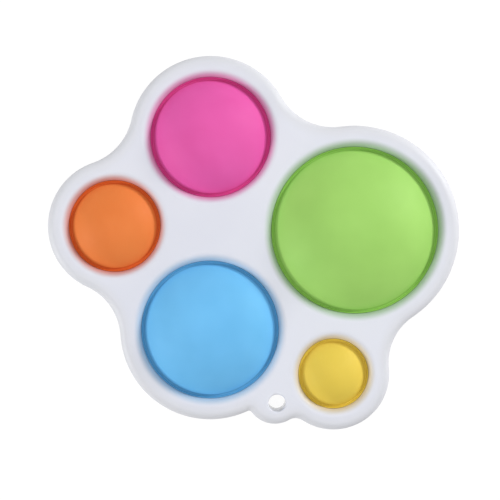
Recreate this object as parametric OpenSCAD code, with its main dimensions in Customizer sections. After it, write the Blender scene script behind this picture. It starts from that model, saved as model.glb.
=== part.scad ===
// Handheld bubble pop toy: a white plate of two welded half shells that clamps
// five silicone bubbles of different sizes. Millimetres. X right and Y up as the
// front is seen, Z out of the front, origin at the bottom centre of the plate.

/* [Plate] */
// thickness of the plate over both half shells
plate_t = 10; // [9:0.5:14]
// width of plate left round each bubble hole
rim_w = 6.6; // [6.2:0.1:10]
// radius that rounds the outer edge of the plate
edge_r = 2.5; // [2:0.1:3]
// wall of the hollow half shells
wall = 1.8; // [1.4:0.1:2.2]
// radius of the rounded lead into each bubble hole
lead_r = 3; // [2.7:0.1:3.4]
// how deep the lead drops before the straight wall of the hole
lead_drop = 1.9; // [1.6:0.1:2.4]

/* [Bubble holes] */
// diameter of the hole for the pink bubble
pink_d = 37.8; // [34:0.2:40]
// place of the pink bubble across the plate
pink_x = -13.5; // [-15:0.1:-12]
// place of the pink bubble up the plate
pink_y = 33.3; // [32:0.1:36]
// diameter of the hole for the green bubble
green_d = 52.4; // [48:0.2:54]
// place of the green bubble across the plate
green_x = 31.7; // [31:0.1:35]
// place of the green bubble up the plate
green_y = 4.1; // [3:0.1:6]
// diameter of the hole for the yellow bubble
yellow_d = 22; // [19:0.2:24]
// place of the yellow bubble across the plate
yellow_x = 25; // [24:0.1:27]
// place of the yellow bubble up the plate
yellow_y = -40.9; // [-43:0.1:-40]
// diameter of the hole for the blue bubble
blue_d = 43.2; // [40:0.2:45]
// place of the blue bubble across the plate
blue_x = -13.7; // [-15:0.1:-12]
// place of the blue bubble up the plate
blue_y = -27.1; // [-29:0.1:-26]
// diameter of the hole for the orange bubble
orange_d = 28.8; // [26:0.2:31]
// place of the orange bubble across the plate
orange_x = -43.6; // [-46:0.1:-43]
// place of the orange bubble up the plate
orange_y = 5.4; // [4:0.1:8]

/* [Waists] */
// radius of the hollow curve between pink and green lobes
pink_green_r = 18.8; // [12:0.2:24]
// radius of the hollow curve between green and yellow lobes
green_yellow_r = 17.2; // [12:0.2:24]
// radius of the small corner between yellow lobe and tab
yellow_tab_r = 4; // [1.5:0.1:5]
// radius of the small corner between tab and blue lobe
tab_blue_r = 1; // [0.6:0.1:2]
// radius of the hollow curve between blue and orange lobes
blue_orange_r = 18; // [14:0.2:28]
// radius of the hollow curve between orange and pink lobes
orange_pink_r = 18.6; // [12:0.2:24]

/* [Key ring tab] */
// radius of the tab's outline
tab_r = 9; // [8.4:0.1:12]
// place of the tab across the plate
tab_x = 6.6; // [5:0.1:8]
// place of the tab up the plate
tab_y = -47.7; // [-49:0.1:-46.5]
// diameter of the key ring hole
ring_hole_d = 5.4; // [4:0.1:6]
// how far the key ring hole sits right of the tab's centre
ring_dx = 0.7; // [-1:0.1:1.5]
// how far the key ring hole sits below the tab's centre
ring_dy = 2.3; // [1:0.1:3]
// wall of the tube round the key ring hole
ring_wall = 1.6; // [1.2:0.1:2]
// radius that rounds the mouths of the key ring hole
ring_edge_r = 0.5; // [0.3:0.1:1]

/* [Silicone] */
// radius that the pink dome curves to
pink_dome_r = 23; // [20:0.1:30]
// radius that the green dome curves to
green_dome_r = 35; // [28:0.5:44]
// radius that the yellow dome curves to
yellow_dome_r = 13; // [11:0.1:16]
// radius that the blue dome curves to
blue_dome_r = 27.4; // [22:0.2:36]
// radius that the orange dome curves to
orange_dome_r = 18; // [14:0.1:22]
// thickness of the domes and of the hinge under the groove
dome_t = 1; // [0.7:0.1:1.2]
// wall of the collar that lines the hole
collar_t = 0.4; // [0.3:0.05:0.6]
// how far the collar's lip stays below the end of the lead
lip_drop = 0.05; // [0:0.05:0.4]
// radius of the groove between collar and dome
groove_r = 0.35; // [0.3:0.05:0.7]
// height of the straight wall between the groove and the lip
groove_drop = 0.1; // [0:0.1:1]
// how far the bead reaches into the shells
bead_w = 1.5; // [1:0.1:1.8]
// thickness of the bead that the shells clamp
bead_t = 2; // [1.4:0.1:3]

/* [Shell insides] */
// wall of plastic that is left outside the bead
boss_wall = 1.3; // [1:0.1:1.6]
// height of the tongue that locates the shells
tongue_h = 1.2; // [0.8:0.1:1.6]
// thickness of the tongue
tongue_t = 0.8; // [0.6:0.1:1]
// radius of the weld posts
post_r = 2.4; // [2:0.1:2.6]
// radius of the pins on the back shell's posts
pin_r = 1.2; // [0.8:0.1:1.4]
// length of the pins
pin_l = 2.4; // [1.5:0.1:3]
// thickness of the ribs
rib_t = 1.2; // [0.8:0.1:1.6]
// how far the ribs stop short of the middle plane
rib_gap = 1.5; // [0.5:0.1:2]
// post past the gap of pink and green
pink_green_post = 13; // [11:0.5:15]
// post past the gap of green and yellow
green_yellow_post = 10.2; // [9:0.2:11]
// post past the gap of blue and orange
blue_orange_post = 11; // [9.5:0.5:12]
// post past the gap of orange and pink
orange_pink_post = 10; // [9:0.5:11]
// post beside the gap of blue and pink, on the orange side
orange_side_post = 7; // [5:0.5:9]
// post beside the gap of blue and pink, on the green side
green_side_post = 11; // [9:0.5:13]
// post beside the gap of green and blue, on the yellow side
yellow_side_post = 12; // [10:0.5:13]

/* [Clearances] */
// gap round the silicone collar and bead
seat_gap = 0.05; // [0.02:0.01:0.2]
// gap round the tongue and round the pins
shell_gap = 0.1; // [0.05:0.01:0.2]

/* [Node] */
// what is drawn

/* [Hidden] */
$fn = 96;
// places in the lists below, clockwise round the plate as the front is seen
PINK = 0;
GREEN = 1;
YELLOW = 2;
TAB = 3;
BLUE = 4;
ORANGE = 5;
half_t = plate_t / 2;
// cutters run this far past what they cut, and joined pieces overlap by it
past = 1;
bite = 0.4;

// lobe centres, and the radius of the hole in each (the tab has none)
spots = [
    [pink_x, pink_y],
    [green_x, green_y],
    [yellow_x, yellow_y],
    [tab_x, tab_y],
    [blue_x, blue_y],
    [orange_x, orange_y]
];
hole_r = [pink_d / 2, green_d / 2, yellow_d / 2, 0, blue_d / 2, orange_d / 2];
lobe_r = [for (i = [0 : 5]) i == TAB ? tab_r : hole_r[i] + rim_w];
waist_r = [pink_green_r, green_yellow_r, yellow_tab_r, tab_blue_r, blue_orange_r, orange_pink_r];
bubbles = [PINK, GREEN, YELLOW, BLUE, ORANGE];
ring_hole = [tab_x + ring_dx, tab_y - ring_dy];
ring_r = ring_hole_d / 2;

// the middle of the plate's box goes to the origin
left = min([for (i = [0 : 5]) spots[i][0] - lobe_r[i]]);
right = max([for (i = [0 : 5]) spots[i][0] + lobe_r[i]]);
low = min([for (i = [0 : 5]) spots[i][1] - lobe_r[i]]);
high = max([for (i = [0 : 5]) spots[i][1] + lobe_r[i]]);
middle = [(left + right) / 2, (low + high) / 2];

// centre of a hollow curve that touches two lobes, on the left of the way a to b
function waist(a, b, ra, rb) =
    let (
        d = norm(b - a),
        u = (b - a) / d,
        n = [-u[1], u[0]],
        along = (ra * ra - rb * rb + d * d) / (2 * d),
        off = sqrt(ra * ra - along * along)
    )
    a + along * u + off * n;
waists = [
    for (i = [0 : 5])
        let (j = (i + 1) % 6)
        waist(spots[i], spots[j], lobe_r[i] + waist_r[i], lobe_r[j] + waist_r[i])
];
// the web runs from lobe centre to waist centre and on, all the way round
web = [for (i = [0 : 11]) i % 2 == 0 ? spots[i / 2] : waists[(i - 1) / 2]];
// the part of the plane that a lobe has outside the web
function wedge(i) =
    let (
        a = spots[i],
        c = waists[i],
        b = waists[(i + 5) % 6],
        fc = 2 * c - a,
        fb = 2 * b - a
    )
    [a, c, fc, fc + fb - a, fb, b];

// the point midway in the gap of two holes, moved sideways
function beside(i, j, side) =
    let (
        u = (spots[j] - spots[i]) / norm(spots[j] - spots[i]),
        gap = norm(spots[j] - spots[i]) - hole_r[i] - hole_r[j]
    )
    spots[i] + (hole_r[i] + gap / 2) * u + side * [-u[1], u[0]];
// each weld post with the two bosses that its ribs run to
posts = [
    [beside(PINK, GREEN, pink_green_post), PINK, GREEN],
    [beside(GREEN, YELLOW, green_yellow_post), GREEN, YELLOW],
    [beside(BLUE, ORANGE, blue_orange_post), BLUE, ORANGE],
    [beside(ORANGE, PINK, orange_pink_post), ORANGE, PINK],
    [beside(BLUE, PINK, orange_side_post), BLUE, ORANGE],
    [beside(PINK, BLUE, green_side_post), PINK, GREEN],
    [beside(GREEN, BLUE, yellow_side_post), BLUE, YELLOW]
];

// where the lead into a hole turns into its straight wall, and how wide it flares
seat_z = half_t - lead_drop;
lead_w = sqrt(lead_r * lead_r - (lead_r - lead_drop) * (lead_r - lead_drop));
boss_w = bead_w + seat_gap + boss_wall;

// a coarse step and then a fine one, so that curves which touch do it exactly
function coarse(p) = [for (v = p) round(1000 * v) / 1000];
module at(p) {
    translate(coarse(p))
        translate(p - coarse(p))
            children();
}

// half section of a lobe: the outer top corner is rounded
module lobe_half(r, low_z, top_z, round_r) {
    difference() {
        translate([0, low_z])
            square([r, top_z - low_z]);
        if (round_r > 0)
            corner(r, top_z, round_r);
    }
}

// what a rounded corner takes away, at the outer top corner (r, z)
module corner(r, z, round_r) {
    difference() {
        translate([r - round_r, z - round_r])
            square([round_r + past, round_r + past]);
        translate([r - round_r, z - round_r])
            circle(round_r);
    }
}

// half section of the cutter that hollows a waist
module waist_half(r, low_z, top_z, round_r) {
    translate([0, low_z - past])
        square([r, top_z - low_z + 2 * past]);
    if (round_r > 0)
        translate([r + round_r, 0])
            mirror([1, 0])
                corner(round_r, top_z, round_r);
}

// the whole plate outline, set in from the edge, with its top edge rounded
module lobed(inset, low_z, top_z, round_r = 0) {
    difference() {
        translate([0, 0, low_z])
            linear_extrude(top_z - low_z)
                polygon(web);
        for (i = [0 : 5])
            at(waists[i])
                rotate_extrude()
                    waist_half(waist_r[i] + inset, low_z, top_z, round_r);
    }
    for (i = [0 : 5])
        intersection() {
            translate(spots[i])
                rotate_extrude()
                    lobe_half(lobe_r[i] - inset, low_z, top_z, round_r);
            translate([0, 0, low_z - past])
                linear_extrude(top_z - low_z + 2 * past)
                    polygon(wedge(i));
        }
}

// half section of the cutter for a hole with a rounded mouth
module mouth_half(r, flare_w, flare_r, wall_z) {
    translate([0, -past])
        square([r, half_t + 2 * past]);
    difference() {
        translate([0, wall_z])
            square([r + flare_w, half_t + past - wall_z]);
        at([r + flare_w, half_t - flare_r])
            circle(flare_r);
    }
}

module rib(from, i) {
    run = spots[i] - from;
    reach = norm(run) - hole_r[i] - boss_w + bite;
    translate(from)
        rotate(atan2(run[1], run[0]))
            translate([0, -rib_t / 2, rib_gap])
                cube([reach, rib_t, half_t - wall + bite - rib_gap]);
}

// one half shell with its front up and the middle plane at zero, without its joint
module half_shell() {
    difference() {
        lobed(0, 0, half_t, edge_r);
        lobed(wall, -past, half_t - wall, edge_r - wall);
    }
    for (i = bubbles)
        translate(spots[i])
            cylinder(r = hole_r[i] + boss_w, h = half_t - wall + bite);
    translate(ring_hole)
        cylinder(r = ring_r + ring_wall, h = half_t - wall + bite);
    for (p = posts) {
        translate(p[0])
            cylinder(r = post_r, h = half_t - wall + bite);
        rib(p[0], p[1]);
        rib(p[0], p[2]);
    }
}

module half_cuts() {
    for (i = bubbles)
        translate(spots[i])
            rotate_extrude() {
                mouth_half(hole_r[i], lead_w, lead_r, seat_z);
                translate([0, -past])
                    square([hole_r[i] + bead_w + seat_gap, bead_t / 2 + past]);
            }
    translate(ring_hole)
        rotate_extrude()
            mouth_half(ring_r, ring_edge_r, ring_edge_r, half_t - ring_edge_r);
}

module placed() {
    translate([-middle[0], -middle[1], half_t])
        children();
}

module front_shell() {
    color([0.95, 0.95, 0.97])
        placed()
            difference() {
                union() {
                    half_shell();
                    difference() {
                        lobed(wall - tongue_t, -tongue_h, bite);
                        lobed(wall, -tongue_h - past, bite + past);
                    }
                }
                half_cuts();
                for (p = posts)
                    translate([p[0][0], p[0][1], -past])
                        cylinder(r = pin_r + shell_gap, h = pin_l + shell_gap + past);
            }
}

module back_shell() {
    color([0.95, 0.95, 0.97])
        placed()
            mirror([0, 0, 1])
                difference() {
                    union() {
                        half_shell();
                        for (p = posts)
                            translate([p[0][0], p[0][1], -pin_l])
                                cylinder(r = pin_r, h = pin_l + bite);
                    }
                    half_cuts();
                    difference() {
                        lobed(wall - tongue_t - shell_gap, -past, tongue_h + shell_gap);
                        lobed(wall + bite, -2 * past, tongue_h + shell_gap + past);
                    }
                }
}

// a silicone bubble about its own axis, with the middle plane at zero
module bubble(i, dome_r) {
    // inside of the collar, half its width, and how high its round lip is centred
    inner = hole_r[i] - seat_gap - collar_t;
    lip_r = collar_t / 2;
    lip_z = seat_z - lip_drop - lip_r;
    // centre of the groove's round beside the collar
    groove = [inner - groove_r, lip_z - groove_drop];
    // the dome runs smoothly into the groove, so the two centres are this far apart
    apart = dome_r + groove_r;
    dome = [0, groove[1] - sqrt(apart * apart - groove[0] * groove[0])];
    crown = dome[1] + dome_r;
    rotate_extrude() {
        // collar with two round lips
        translate([inner, -lip_z])
            square([collar_t, 2 * lip_z]);
        for (side = [-1, 1])
            translate([inner + lip_r, side * lip_z])
                circle(lip_r);
        // bead that the shells clamp
        translate([inner + lip_r, -bead_t / 2])
            square([lip_r + seat_gap + bead_w, bead_t]);
        // hinge that rolls under the groove
        intersection() {
            difference() {
                at(groove)
                    circle(groove_r + dome_t);
                at(groove)
                    circle(groove_r);
            }
            polygon([
                groove,
                dome,
                [0, dome[1] - past],
                [inner + lip_r, dome[1] - past],
                [inner + lip_r, groove[1]]
            ]);
        }
        // dome
        intersection() {
            difference() {
                at(dome)
                    circle(dome_r);
                at(dome)
                    circle(dome_r - dome_t);
            }
            polygon([dome, groove, [groove[0], crown + past], [0, crown + past]]);
        }
        // inside both where they meet, so that they are one piece at any size
        translate(groove + (groove_r + dome_t / 2) / apart * (dome - groove))
            circle(dome_t / 4);
    }
}

module placed_bubble(i, dome_r) {
    placed()
        translate(spots[i])
            bubble(i, dome_r);
}

module pink_bubble() {
    color([0.9, 0.35, 0.65])
        placed_bubble(PINK, pink_dome_r);
}

module green_bubble() {
    color([0.6, 0.8, 0.4])
        placed_bubble(GREEN, green_dome_r);
}

module yellow_bubble() {
    color([0.9, 0.78, 0.3])
        placed_bubble(YELLOW, yellow_dome_r);
}

module blue_bubble() {
    color([0.4, 0.7, 0.9])
        placed_bubble(BLUE, blue_dome_r);
}

module orange_bubble() {
    color([0.9, 0.48, 0.25])
        placed_bubble(ORANGE, orange_dome_r);
}

front_shell();
back_shell();
pink_bubble();
green_bubble();
yellow_bubble();
blue_bubble();
orange_bubble();
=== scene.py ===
import math
from collections import namedtuple

import bpy
import bmesh
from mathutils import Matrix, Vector, kdtree, noise
from mathutils.geometry import delaunay_2d_cdt


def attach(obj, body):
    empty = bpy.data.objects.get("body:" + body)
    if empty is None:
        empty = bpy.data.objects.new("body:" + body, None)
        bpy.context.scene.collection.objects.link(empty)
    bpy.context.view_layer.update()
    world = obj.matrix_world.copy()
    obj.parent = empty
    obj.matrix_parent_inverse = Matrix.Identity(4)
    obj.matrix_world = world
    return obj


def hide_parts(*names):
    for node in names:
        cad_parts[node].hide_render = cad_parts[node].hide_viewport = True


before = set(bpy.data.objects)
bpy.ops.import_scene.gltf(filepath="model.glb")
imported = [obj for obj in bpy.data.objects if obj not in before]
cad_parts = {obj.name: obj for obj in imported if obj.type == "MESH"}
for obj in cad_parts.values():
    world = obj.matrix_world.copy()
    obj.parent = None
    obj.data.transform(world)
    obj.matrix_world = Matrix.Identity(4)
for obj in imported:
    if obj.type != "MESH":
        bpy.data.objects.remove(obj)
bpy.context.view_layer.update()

MM = 0.001
TINY = 1e-6

# sizes of the plate, in millimetres, as the solids have them
HALF_T = 5.0
RIM_W = 6.6
EDGE_R = 2.5
LEAD_R = 3.0
LEAD_DROP = 1.9
LEAD_W = math.sqrt(LEAD_R ** 2 - (LEAD_R - LEAD_DROP) ** 2)
SEAT_Z = HALF_T - LEAD_DROP
TAB_R = 9.0
RING_HOLE = (7.3, -50.0)
RING_R = 2.7
RING_EDGE_R = 0.5

# the plate's lobes, clockwise: each holds a bubble in its hole, apart from the tab, and is
# followed by a hollow curve that leads to the next lobe
Lobe = namedtuple("Lobe", "name x y hole_r hollow_r")
LOBES = [
    Lobe("pink", -13.5, 33.3, 18.9, 18.8),
    Lobe("green", 31.7, 4.1, 26.2, 17.2),
    Lobe("yellow", 25.0, -40.9, 11.0, 4.0),
    Lobe("tab", 6.6, -47.7, 0.0, 1.0),
    Lobe("blue", -13.7, -27.1, 21.6, 18.0),
    Lobe("orange", -43.6, 5.4, 14.4, 18.6),
]
BUBBLES = [lobe for lobe in LOBES if lobe.hole_r]

# the holes in each face: the wall's radius, the flare's radius and width, and the height
# that the wall begins at
Hole = namedtuple("Hole", "centre radius flare_r flare_w wall_z")
HOLES = [Hole((lobe.x, lobe.y), lobe.hole_r, LEAD_R, LEAD_W, SEAT_Z) for lobe in BUBBLES]
HOLES.append(Hole(RING_HOLE, RING_R, RING_EDGE_R, RING_EDGE_R, HALF_T - RING_EDGE_R))

# sizes of the silicone, in millimetres
DOME_R = {"pink": 23.0, "green": 35.0, "yellow": 13.0, "blue": 27.4, "orange": 18.0}
DOME_T = 1.0
COLLAR_T = 0.4
SEAT_GAP = 0.05
LIP_DROP = 0.05
GROOVE_R = 0.35
GROOVE_DROP = 0.1
BEAD_W = 1.5
BEAD_T = 2.0

# fine detail that only the scene has, in millimetres: the groove of the seam, whose bend
# sits at shares of its width, the broken edge of the leads, and how far and how wide the
# face sinks towards its outline
SEAM_W = 0.16
SEAM_BEND = (0.35, 0.45)
LEAD_BREAK = 0.02
CROWN = 0.35
CROWN_W = 7.0

# the domes sway by about this many millimetres, in waves with ripples on them that are a
# share as high, and each dome's seed gives it waves of its own
SWAY = 0.10
SWAY_FADE_W = 2.5
WAVE_W = 9.0
RIPPLE_W = 4.0
RIPPLE_SHARE = 0.4
RIPPLE_SEED = 7
FIRST_SEED = 0.5
NEXT_SEED = 3.1

# the longest steps along an outline and round a bubble, the gaps to the rings that keep an
# edge crisp, and the flat face's grid with its gap to any edge, all in millimetres
STEP = 0.7
BUBBLE_STEP = 0.75
SUPPORT = 0.12
WALL_SUPPORT = 0.05
SIDE_SUPPORT = 0.5
GRID = 1.6
GRID_CLEAR = 0.8
# the height of the grid's rows as a share of it, and the share of a hole's radius that
# counts as inside
GRID_ROW = 0.866
INSIDE_SHARE = 0.9999
# what is bent more sharply than this, in degrees, is shaded as an edge
SHARP_DEG = 35

# steps in each curve, the least for those that also follow a longest step
LOBE_STEPS = 24
HOLLOW_STEPS = 18
HOLE_STEPS = 72
BUBBLE_STEPS = 120
EDGE_STEPS = 18
LEAD_STEPS = 12
DOME_STEPS = 56
DOME_BACK_STEPS = 48
GROOVE_STEPS = 14
GROOVE_BACK_STEPS = 12
LIP_STEPS = 14

# each vertex of the plate keeps its distance from the outline, in millimetres
EDGE_LAYER = "edge_distance"


def lobe_radius(lobe):
    return lobe.hole_r + RIM_W if lobe.hole_r else TAB_R


def middle_of(places):
    """The middle of the plate's box along one axis, from each lobe's place on it."""
    low = min(at - lobe_radius(lobe) for at, lobe in zip(places, LOBES))
    high = max(at + lobe_radius(lobe) for at, lobe in zip(places, LOBES))
    return (low + high) / 2


MIDDLE = Vector((middle_of([lobe.x for lobe in LOBES]), middle_of([lobe.y for lobe in LOBES])))


def place(x, y, z):
    """Plate sizes in millimetres to the frame in metres."""
    return Vector(((x - MIDDLE.x) * MM, (y - MIDDLE.y) * MM, (z + HALF_T) * MM))


def waist(a, b, ra, rb):
    """The point at ra from a and rb from b that is on the left of the way from a to b."""
    d = (b - a).length
    u = (b - a) / d
    along = (ra * ra - rb * rb + d * d) / (2 * d)
    off = math.sqrt(ra * ra - along * along)
    return a + along * u + off * Vector((-u.y, u.x))


def angle_of(way):
    return math.atan2(way.y, way.x)


def outline():
    """Samples of the plate's outline, clockwise: centre, radius, what an inset adds, direction."""
    spots = [Vector((lobe.x, lobe.y)) for lobe in LOBES]
    radii = [lobe_radius(lobe) for lobe in LOBES]
    count = len(LOBES)
    waists = []
    for i, lobe in enumerate(LOBES):
        j = (i + 1) % count
        waists.append(waist(spots[i], spots[j], radii[i] + lobe.hollow_r, radii[j] + lobe.hollow_r))
    samples = []

    def arc(centre, radius, grow, start, end, least):
        n = max(least, math.ceil(abs(end - start) * radius / STEP))
        for k in range(n):
            t = start + (end - start) * k / n
            samples.append((centre, radius, grow, Vector((math.cos(t), math.sin(t)))))

    for i, lobe in enumerate(LOBES):
        start = angle_of(waists[i - 1] - spots[i])
        end = angle_of(waists[i] - spots[i])
        while end > start:
            end -= 2 * math.pi
        arc(spots[i], radii[i], -1, start, end, LOBE_STEPS)
        start = angle_of(spots[i] - waists[i])
        end = angle_of(spots[(i + 1) % count] - waists[i])
        while end < start:
            end += 2 * math.pi
        arc(waists[i], lobe.hollow_r, 1, start, end, HOLLOW_STEPS)
    return samples


SAMPLES = outline()


def inset_ring(inset):
    return [centre + (radius + grow * inset) * way for centre, radius, grow, way in SAMPLES]


OUTLINE = kdtree.KDTree(len(SAMPLES))
for number, spot in enumerate(inset_ring(0)):
    OUTLINE.insert((spot.x, spot.y, 0), number)
OUTLINE.balance()


def edge_distance(x, y):
    return OUTLINE.find((x, y, 0))[2]


def crown_drop(away):
    """How far the face has sunk at a distance from the outline, so that it is very slightly domed."""
    t = min(1.0, away / CROWN_W)
    return CROWN * (1 - t * t * (3 - 2 * t))


def circle_ring(centre, radius, count):
    ring = []
    for k in range(count):
        t = 2 * math.pi * k / count
        ring.append(Vector((centre[0] + radius * math.cos(t), centre[1] + radius * math.sin(t))))
    return ring


def inside(point, ring):
    """Whether a point is inside a ring: a ray from it then crosses the ring an odd number of times."""
    hit = False
    px, py = point
    for k in range(len(ring)):
        ax, ay = ring[k - 1]
        bx, by = ring[k]
        if (ay > py) != (by > py) and px < (bx - ax) * (py - ay) / (by - ay) + ax:
            hit = not hit
    return hit


def clear_of_edges(x, y):
    """Whether a point of the flat face stays clear of its rounded edge and of the holes."""
    if edge_distance(x, y) <= EDGE_R + GRID_CLEAR:
        return False
    for hole in HOLES:
        if math.hypot(x - hole.centre[0], y - hole.centre[1]) <= hole.radius + hole.flare_w + GRID_CLEAR:
            return False
    return True


def grid_points():
    """A grid of points on the flat face, each second row shifted by half a step."""
    found = []
    ring = inset_ring(0)
    low_x, high_x = min(p.x for p in ring), max(p.x for p in ring)
    low_y, high_y = min(p.y for p in ring), max(p.y for p in ring)
    for j in range(int((high_y - low_y) / (GRID * GRID_ROW))):
        y = low_y + j * GRID * GRID_ROW
        x = low_x + (j % 2) * GRID / 2
        while x < high_x:
            if clear_of_edges(x, y) and inside((x, y), ring):
                found.append((x, y))
            x += GRID
    return found


def flat_spot(vert):
    """A vertex seen from above, in millimetres."""
    return Vector((vert.co.x, vert.co.y)) / MM


def round_of(loop):
    """The centre and radius of a round loop of vertices."""
    spots = [flat_spot(vert) for vert in loop]
    centre = sum(spots, Vector((0, 0))) / len(spots)
    return centre, (spots[0] - centre).length


def fill_flat(bm, outer, holes, points=()):
    """Fills the flat face between an outer loop of vertices and the loops of its holes."""
    loops = [outer] + holes
    verts = [vert for loop in loops for vert in loop]
    level = verts[0].co.z
    for x, y in points:
        spot = place(x, y, 0)
        verts.append(bm.verts.new((spot.x, spot.y, level)))
    flat = [flat_spot(vert) for vert in verts]
    edges = []
    base = 0
    for loop in loops:
        edges += [(base + k, base + (k + 1) % len(loop)) for k in range(len(loop))]
        base += len(loop)
    out, _, faces, origin, _, _ = delaunay_2d_cdt(flat, edges, [], 0, TINY)
    source = [numbers[0] for numbers in origin]
    rim = flat[:len(outer)]
    rounds = [round_of(loop) for loop in holes]
    for face in faces:
        mid = sum((out[k] for k in face), Vector((0, 0))) / len(face)
        in_hole = any((mid - centre).length < radius * INSIDE_SHARE for centre, radius in rounds)
        if not in_hole and inside(mid, rim):
            bm.faces.new([verts[source[k]] for k in face])


def bridge(bm, a, b):
    """Joins two rings of as many vertices with a band of faces."""
    for k in range(len(a)):
        j = (k + 1) % len(a)
        bm.faces.new((a[k], a[j], b[j], b[k]))


def fan(bm, tip, ring):
    """Joins a vertex to each edge of a ring."""
    for k in range(len(ring)):
        bm.faces.new((tip, ring[k], ring[(k + 1) % len(ring)]))


def arc_points(cx, cz, radius, start, end, count):
    """Points on an arc in a (radius, height) section, angles in degrees, ends included."""
    points = []
    for k in range(count + 1):
        t = math.radians(start + (end - start) * k / count)
        points.append((cx + radius * math.cos(t), cz + radius * math.sin(t)))
    return points


def to_object(bm, name):
    bmesh.ops.recalc_face_normals(bm, faces=bm.faces)
    mesh = bpy.data.meshes.new(name)
    bm.to_mesh(mesh)
    bm.free()
    for poly in mesh.polygons:
        poly.use_smooth = True
    mesh.set_sharp_from_angle(angle=math.radians(SHARP_DEG))
    obj = bpy.data.objects.new(name, mesh)
    bpy.context.scene.collection.objects.link(obj)
    return obj


# the plate

GRID_POINTS = grid_points()


def edge_section():
    """Up the outer edge as (inset, height): half the seam's groove, the side and the round edge."""
    top_of_side = HALF_T - EDGE_R
    section = [
        (SEAM_W, 0.0),
        (SEAM_W * SEAM_BEND[0], SEAM_W * SEAM_BEND[1]),
        (0.0, SEAM_W),
        (0.0, SIDE_SUPPORT),
        (0.0, top_of_side),
    ]
    for x, z in arc_points(0, 0, EDGE_R, 0, 90, EDGE_STEPS)[1:]:
        section.append((EDGE_R - x, top_of_side + z))
    section.append((EDGE_R + SUPPORT, HALF_T))
    return section


def hole_section(hole):
    """Down a hole as (radius, height): the flat face, the rounded lead and the wall."""
    flare_x = hole.radius + hole.flare_w
    stop = math.degrees(math.acos(hole.flare_w / hole.flare_r))
    section = [(flare_x + SUPPORT, HALF_T)]
    section += arc_points(flare_x, HALF_T - hole.flare_r, hole.flare_r, 90, 180 - stop, LEAD_STEPS)
    # the edge that the lead ends in is broken a little, as on a moulding
    end_r, end_z = section[-1]
    section[-1] = (end_r + LEAD_BREAK, end_z + LEAD_BREAK)
    section += [(hole.radius, hole.wall_z - WALL_SUPPORT), (hole.radius, 0.0)]
    return section


def crown_face(bm, side):
    """Sinks the face towards the outline, less and less down the round edge, and keeps distances."""
    layer = bm.verts.layers.float[EDGE_LAYER]
    for vert in bm.verts:
        away = edge_distance(vert.co.x / MM + MIDDLE.x, vert.co.y / MM + MIDDLE.y)
        vert[layer] = away
        height = abs(vert.co.z / MM - HALF_T)
        share = min(1.0, max(0.0, (height - HALF_T + EDGE_R) / EDGE_R))
        vert.co.z -= side * share * crown_drop(away) * MM


def half_plate(name, side):
    """One half shell: side is 1 for the front and -1 for the back."""
    bm = bmesh.new()
    bm.verts.layers.float.new(EDGE_LAYER)

    def skin(levels):
        """Bridges rings of points, each given with its height, and returns the first and last."""
        rings = [[bm.verts.new(place(p[0], p[1], side * z)) for p in ring] for ring, z in levels]
        for a, b in zip(rings, rings[1:]):
            bridge(bm, a, b)
        return rings[0], rings[-1]

    seam, face_edge = skin([(inset_ring(inset), z) for inset, z in edge_section()])
    top_holes = []
    low_holes = []
    for hole in HOLES:
        count = max(HOLE_STEPS, math.ceil(2 * math.pi * hole.radius / STEP))
        top, low = skin([(circle_ring(hole.centre, r, count), z) for r, z in hole_section(hole)])
        top_holes.append(top)
        low_holes.append(low)
    fill_flat(bm, face_edge, top_holes, GRID_POINTS)
    fill_flat(bm, seam, low_holes)
    crown_face(bm, side)
    return to_object(bm, name)


# the bubbles

def bubble_section(hole_r, dome_r):
    """A bubble's section from the crown out and back below, and the radius that the dome ends at."""
    inner = hole_r - SEAT_GAP - COLLAR_T
    outer = inner + COLLAR_T
    bead = outer + SEAT_GAP + BEAD_W
    lip = COLLAR_T / 2
    lip_z = SEAT_Z - LIP_DROP - lip
    groove_x = inner - GROOVE_R
    groove_z = lip_z - GROOVE_DROP
    dome_z = groove_z - math.sqrt((dome_r + GROOVE_R) ** 2 - groove_x ** 2)
    turn = math.degrees(math.atan2(groove_z - dome_z, groove_x))
    under = 360 - math.degrees(math.acos(GROOVE_R / (GROOVE_R + DOME_T)))
    points = arc_points(0, dome_z, dome_r, 90, turn, DOME_STEPS)
    points += arc_points(groove_x, groove_z, GROOVE_R, 180 + turn, 360, GROOVE_STEPS)[1:]
    points += arc_points(inner + lip, lip_z, lip, 180, 0, LIP_STEPS)
    points += [(outer, BEAD_T / 2), (bead, BEAD_T / 2), (bead, -BEAD_T / 2), (outer, -BEAD_T / 2)]
    points += arc_points(inner + lip, -lip_z, lip, 0, -180, LIP_STEPS)
    points += arc_points(groove_x, groove_z, GROOVE_R + DOME_T, under, 180 + turn, GROOVE_BACK_STEPS)
    points += arc_points(0, dome_z, dome_r - DOME_T, turn, 90, DOME_BACK_STEPS)[1:]
    return points, inner - 2 * GROOVE_R


def dome_sway(x, y, seed):
    """Moulded silicone is never quite true: the waves and ripples at a place on a dome."""
    wave = noise.noise(Vector((x / WAVE_W, y / WAVE_W, seed)))
    ripple = noise.noise(Vector((x / RIPPLE_W, y / RIPPLE_W, seed + RIPPLE_SEED)))
    return wave + RIPPLE_SHARE * ripple


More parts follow.
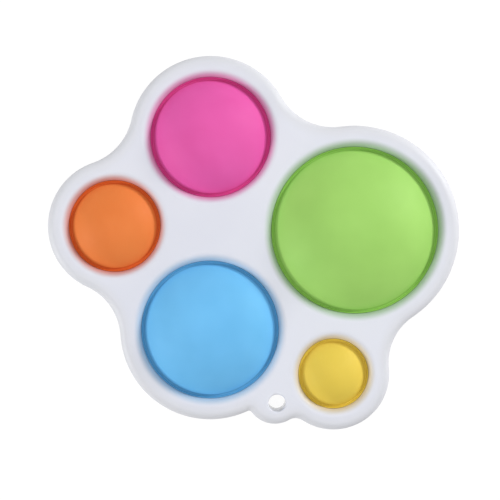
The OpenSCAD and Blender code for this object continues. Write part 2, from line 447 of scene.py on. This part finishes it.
def bubble(name, lobe, seed):
    """A lobe's whole silicone moulding: its section goes round in as many steps as it needs."""
    section, dome_edge = bubble_section(lobe.hole_r, DOME_R[lobe.name])
    count = max(BUBBLE_STEPS, math.ceil(2 * math.pi * lobe.hole_r / BUBBLE_STEP))
    bm = bmesh.new()

    def new_vert(r, t, z):
        x, y = r * math.cos(t), r * math.sin(t)
        if r < dome_edge:
            fade = min(1.0, (dome_edge - r) / SWAY_FADE_W)
            z += SWAY * fade * dome_sway(x, y, seed)
        return bm.verts.new(place(lobe.x + x, lobe.y + y, z))

    rings = []
    for r, z in section:
        if r < TINY:
            rings.append([new_vert(0.0, 0.0, z)])
        else:
            rings.append([new_vert(r, 2 * math.pi * k / count, z) for k in range(count)])
    fan(bm, rings[0][0], rings[1])
    for a, b in zip(rings[1:], rings[2:-1]):
        bridge(bm, a, b)
    fan(bm, rings[-1][0], rings[-2][::-1])
    return to_object(bm, name)


# materials, with colours as they look on a screen, 0 to 255

# the white has two slightly different tones, and a painted shade makes it greyer at the plate's edge, up
# to this many millimetres in
WHITE_TONES = ((223, 225, 235), (227, 229, 238))
EDGE_SHADE_TONE = (221, 222, 227)
EDGE_SHADE_W = 5.0

# colours of each silicone: dark and light patches of the dome, and the thick rim's deeper colour,
# darkened further as painted shade of its groove
SILICONE_TONES = {
    "pink": ((230, 92, 171), (235, 98, 178), (213, 70, 142)),
    "green": ((161, 211, 107), (168, 218, 113), (142, 195, 89)),
    "yellow": ((229, 201, 82), (235, 207, 88), (223, 193, 74)),
    "blue": ((110, 189, 239), (117, 196, 246), (94, 164, 209)),
    "orange": ((232, 128, 64), (238, 134, 69), (218, 99, 42)),
}
# the dome's colour turns into the rim's, deeper in colour and with painted groove shade, between these
# distances inside the hole's radius, in millimetres
THICK_SHADE_FROM = 1.55
THICK_SHADE_TO = 1.0

# painted shade and painted coloured bounce of each silicone on the white lead beside it: its colour,
# its strength at the edge of the hole and how far it reaches, in millimetres
PAINTED_LEAD_TINTS = {
    "pink": ((207, 51, 151), 0.62, 2.2),
    "green": ((104, 158, 76), 0.57, 2.7),
    "yellow": ((202, 170, 60), 0.50, 2.2),
    "blue": ((105, 170, 204), 0.44, 2.4),
    "orange": ((197, 80, 30), 0.66, 2.2),
}

# the polished wall of the key ring hole: its share of the plate's roughness, and how far
# from the wall, in millimetres, the polish begins to fade
POLISH = 0.12
POLISH_W = 0.1

# a finish has three noises, each as patterns per metre, detail and roughness; the two
# values of the broad one between which the tone turns; the range of the gloss, from smooth
# to rough; the relief of the middle and the fine one in metres; and the shader's numbers
Finish = namedtuple("Finish", "broad middle fine turn gloss middle_relief fine_relief shader")
WHITE_FINISH = Finish(
    broad=(38, 2.0, 0.5),
    middle=(900, 2.0, 0.5),
    fine=(5200, 2.0, 0.6),
    turn=(0.35, 0.65),
    gloss=(0.40, 0.50),
    middle_relief=0.000012,
    fine_relief=0.000010,
    shader={
        "IOR": 1.5,
        "Specular IOR Level": 0.4,
        "Subsurface Weight": 0.12,
        "Subsurface Radius": (1.0, 0.95, 0.9),
        "Subsurface Scale": 0.0008,
    },
)
SILICONE_FINISH = Finish(
    broad=(70, 2.0, 0.5),
    middle=(1100, 3.0, 0.55),
    fine=(6500, 2.0, 0.6),
    turn=(0.3, 0.7),
    gloss=(0.48, 0.62),
    middle_relief=0.00002,
    fine_relief=0.000008,
    shader={
        "IOR": 1.41,
        "Specular IOR Level": 0.18,
        "Subsurface Weight": 0.15,
        "Subsurface Radius": (1.0, 1.0, 1.0),
        "Subsurface Scale": 0.0008,
    },
)
# the values of the middle noise between which the gloss goes over its range
GLOSS_TURN = (0.3, 0.7)

# sockets of a colour mix node, which share their names with hidden ones
MIX_FACTOR = 0
MIX_UNDER = 6
MIX_OVER = 7
MIX_RESULT = 2


def linear(colour):
    """A screen colour as the shader takes it, by the sRGB curve."""
    out = []
    for v in colour:
        v /= 255
        out.append(v / 12.92 if v <= 0.04045 else ((v + 0.055) / 1.055) ** 2.4)
    return (*out, 1)


def set_inputs(node, values):
    for name, value in values.items():
        node.inputs[name].default_value = value


def noise_node(tree, coords, pattern):
    scale, detail, roughness = pattern
    node = tree.nodes.new("ShaderNodeTexNoise")
    set_inputs(node, {"Scale": scale, "Detail": detail, "Roughness": roughness})
    tree.links.new(coords.outputs["Object"], node.inputs["Vector"])
    return node.outputs["Fac"]


def tone_node(tree, source, turn, tones):
    """Turns from one colour to another while the source goes from turn's first value to its second."""
    node = tree.nodes.new("ShaderNodeValToRGB")
    for stop, position, tone in zip(node.color_ramp.elements, turn, tones):
        stop.position = position
        stop.color = linear(tone)
    tree.links.new(source, node.inputs["Fac"])
    return node.outputs["Color"]


def fade_node(tree, source, start, end, low, high, curve="SMOOTHSTEP"):
    """Goes from low to high while the source goes from start to end."""
    node = tree.nodes.new("ShaderNodeMapRange")
    node.interpolation_type = curve
    set_inputs(node, {"From Min": start, "From Max": end, "To Min": low, "To Max": high})
    tree.links.new(source, node.inputs["Value"])
    return node.outputs["Result"]


def near_circle(tree, coords, centre, start, end, low, high):
    """Fades from low to high between two distances in millimetres from a hole's centre."""
    flat = tree.nodes.new("ShaderNodeVectorMath")
    flat.operation = "MULTIPLY"
    flat.inputs[1].default_value = (1, 1, 0)
    tree.links.new(coords.outputs["Object"], flat.inputs[0])
    away = tree.nodes.new("ShaderNodeVectorMath")
    away.operation = "DISTANCE"
    away.inputs[1].default_value = place(*centre, -HALF_T)
    tree.links.new(flat.outputs["Vector"], away.inputs[0])
    return fade_node(tree, away.outputs["Value"], start * MM, end * MM, low, high)


def math_node(tree, operation, first, second):
    """Works on two outputs, or on an output and a number."""
    node = tree.nodes.new("ShaderNodeMath")
    node.operation = operation
    tree.links.new(first, node.inputs[0])
    if isinstance(second, float):
        node.inputs[1].default_value = second
    else:
        tree.links.new(second, node.inputs[1])
    return node.outputs[0]


def blend_colour(tree, factor, under, over):
    """Mixes a colour output with a fixed colour."""
    node = tree.nodes.new("ShaderNodeMix")
    node.data_type = "RGBA"
    tree.links.new(factor, node.inputs[MIX_FACTOR])
    tree.links.new(under, node.inputs[MIX_UNDER])
    node.inputs[MIX_OVER].default_value = linear(over)
    return node.outputs[MIX_RESULT]


def bump_chain(tree, bsdf, layers):
    """Lays reliefs on each other, each as (output, height in metres), the coarsest first."""
    normal = None
    for source, height in layers:
        node = tree.nodes.new("ShaderNodeBump")
        set_inputs(node, {"Strength": 1.0, "Distance": height})
        tree.links.new(source, node.inputs["Height"])
        if normal:
            tree.links.new(normal, node.inputs["Normal"])
        normal = node.outputs["Normal"]
    tree.links.new(normal, bsdf.inputs["Normal"])


def new_material(name):
    material = bpy.data.materials.new(name)
    material.use_nodes = True
    return material, material.node_tree


def finished(name, finish, tones):
    """A material with its noises and relief, and its colour and gloss, which paint() joins on."""
    material, tree = new_material(name)
    bsdf = tree.nodes["Principled BSDF"]
    coords = tree.nodes.new("ShaderNodeTexCoord")
    broad = noise_node(tree, coords, finish.broad)
    middle = noise_node(tree, coords, finish.middle)
    fine = noise_node(tree, coords, finish.fine)
    colour = tone_node(tree, broad, finish.turn, tones)
    gloss = fade_node(tree, middle, *GLOSS_TURN, *finish.gloss, "LINEAR")
    set_inputs(bsdf, finish.shader)
    bump_chain(tree, bsdf, [(middle, finish.middle_relief), (fine, finish.fine_relief)])
    return material, tree, coords, colour, gloss


def paint(tree, colour, gloss):
    """Joins the finished colour and gloss to the shader."""
    bsdf = tree.nodes["Principled BSDF"]
    tree.links.new(colour, bsdf.inputs["Base Color"])
    tree.links.new(gloss, bsdf.inputs["Roughness"])


def white_plastic():
    material, tree, coords, colour, gloss = finished("white_abs", WHITE_FINISH, WHITE_TONES)
    # painted shade: towards its edge the plate is a little greyer
    edge = tree.nodes.new("ShaderNodeAttribute")
    edge.attribute_name = EDGE_LAYER
    fade = fade_node(tree, edge.outputs["Fac"], 0.0, EDGE_SHADE_W, 1.0, 0.0)
    colour = blend_colour(tree, fade, colour, EDGE_SHADE_TONE)
    # painted shade and painted coloured bounce of the silicone on the leads beside it
    for lobe in BUBBLES:
        painted_tint, strength, reach = PAINTED_LEAD_TINTS[lobe.name]
        end = lobe.hole_r + reach
        fade = near_circle(tree, coords, (lobe.x, lobe.y), lobe.hole_r, end, strength, 0.0)
        colour = blend_colour(tree, fade, colour, painted_tint)
    # the key ring hole has a polished wall
    polish = near_circle(tree, coords, RING_HOLE, RING_R + POLISH_W, RING_R + RING_EDGE_R, POLISH, 1.0)
    paint(tree, colour, math_node(tree, "MULTIPLY", gloss, polish))
    return material


def silicone(lobe):
    *dome_tones, thick_and_shade = SILICONE_TONES[lobe.name]
    material, tree, coords, colour, gloss = finished("silicone_" + lobe.name, SILICONE_FINISH, dome_tones)
    # the thick rim and collar look deeper in colour than the thin dome; their colour also holds painted
    # shade of the groove
    start = lobe.hole_r - THICK_SHADE_FROM
    end = lobe.hole_r - THICK_SHADE_TO
    fade = near_circle(tree, coords, (lobe.x, lobe.y), start, end, 0.0, 1.0)
    paint(tree, blend_colour(tree, fade, colour, thick_and_shade), gloss)
    return material


white = white_plastic()

for side, node in ((1, "front_shell"), (-1, "back_shell")):
    piece = half_plate("plate_front" if side > 0 else "plate_back", side)
    piece.data.materials.append(white)
    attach(piece, "root")
    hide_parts(node)

for number, lobe in enumerate(BUBBLES):
    piece = bubble(lobe.name + "_silicone", lobe, NEXT_SEED * number + FIRST_SEED)
    piece.data.materials.append(silicone(lobe))
    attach(piece, "root")
    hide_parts(lobe.name + "_bubble")


# floor, light and camera

# half the floor's side in metres, its grey in light and shadow, the brightness of its own
# that the camera sees, and the share of that brightness against the grey
FLOOR_HALF = 3.0
FLOOR_GREY = 0.62
FLOOR_GLOW = 1.12
GLOW_SHARE = 0.85

# azimuth from +X towards +Y and elevation in degrees, distance and size in metres, power in
# watts: a low lamp on each side of the toy, the right one stronger, and a wide one overhead
LAMPS = {
    "key": (31, 20, 0.9, 0.16, 4.5),
    "fill": (202, 20, 0.9, 0.16, 2.9),
    "top": (0, 90, 1.2, 0.8, 3.15),
}
SKY_STRENGTH = 0.49

# the camera hangs straight above the middle of the photograph, and its view is this wide
# at the plate's middle plane, in metres
VIEW_X, VIEW_Y = -0.0011, -0.0023
VIEW_HEIGHT = 0.353
VIEW_WIDTH = 0.1582
SENSOR_MM = 36
NEAREST = 0.01
FARTHEST = 20


def floor_material():
    """Grey paper for the toy's light and shadow, mostly plain white to whoever looks at it."""
    material, tree = new_material("floor_white")
    tree.nodes.remove(tree.nodes["Principled BSDF"])
    paper = tree.nodes.new("ShaderNodeBsdfDiffuse")
    set_inputs(paper, {"Color": (FLOOR_GREY, FLOOR_GREY, FLOOR_GREY, 1)})
    glow = tree.nodes.new("ShaderNodeEmission")
    set_inputs(glow, {"Color": (1, 1, 1, 1), "Strength": FLOOR_GLOW})
    rays = tree.nodes.new("ShaderNodeLightPath").outputs
    seen = math_node(tree, "MAXIMUM", rays["Is Camera Ray"], rays["Is Glossy Ray"])
    seen = math_node(tree, "MAXIMUM", seen, rays["Is Transmission Ray"])
    mix = tree.nodes.new("ShaderNodeMixShader")
    tree.links.new(math_node(tree, "MULTIPLY", seen, GLOW_SHARE), mix.inputs["Fac"])
    tree.links.new(paper.outputs[0], mix.inputs[1])
    tree.links.new(glow.outputs[0], mix.inputs[2])
    tree.links.new(mix.outputs[0], tree.nodes["Material Output"].inputs["Surface"])
    return material


def floor():
    near, far = -FLOOR_HALF, FLOOR_HALF
    corners = [(near, near, 0), (far, near, 0), (far, far, 0), (near, far, 0)]
    mesh = bpy.data.meshes.new("floor")
    mesh.from_pydata(corners, [], [(0, 1, 2, 3)])
    mesh.materials.append(floor_material())
    obj = bpy.data.objects.new("floor", mesh)
    bpy.context.scene.collection.objects.link(obj)


def area_light(name, azimuth, elevation, distance, size, power):
    """A square soft light that looks at the toy."""
    data = bpy.data.lights.new(name, "AREA")
    data.shape = "SQUARE"
    data.size = size
    data.energy = power
    obj = bpy.data.objects.new(name, data)
    a, e = math.radians(azimuth), math.radians(elevation)
    way = Vector((math.cos(a) * math.cos(e), math.sin(a) * math.cos(e), math.sin(e)))
    obj.location = way * distance
    obj.rotation_mode = "QUATERNION"
    obj.rotation_quaternion = (-way).to_track_quat("-Z", "Y")
    bpy.context.scene.collection.objects.link(obj)


def sky():
    world = bpy.data.worlds.new("studio")
    bpy.context.scene.world = world
    world.use_nodes = True
    set_inputs(world.node_tree.nodes["Background"], {"Color": (1, 1, 1, 1), "Strength": SKY_STRENGTH})


def camera():
    data = bpy.data.cameras.new("camera")
    data.sensor_width = SENSOR_MM
    data.lens = SENSOR_MM * (VIEW_HEIGHT - HALF_T * MM) / VIEW_WIDTH
    data.clip_start = NEAREST
    data.clip_end = FARTHEST
    eye = bpy.data.objects.new("camera", data)
    eye.location = (VIEW_X, VIEW_Y, VIEW_HEIGHT)
    bpy.context.scene.collection.objects.link(eye)
    return eye


floor()
for name, numbers in LAMPS.items():
    area_light(name, *numbers)
sky()
bpy.context.scene.camera = camera()
bpy.context.scene.view_settings.view_transform = "Standard"
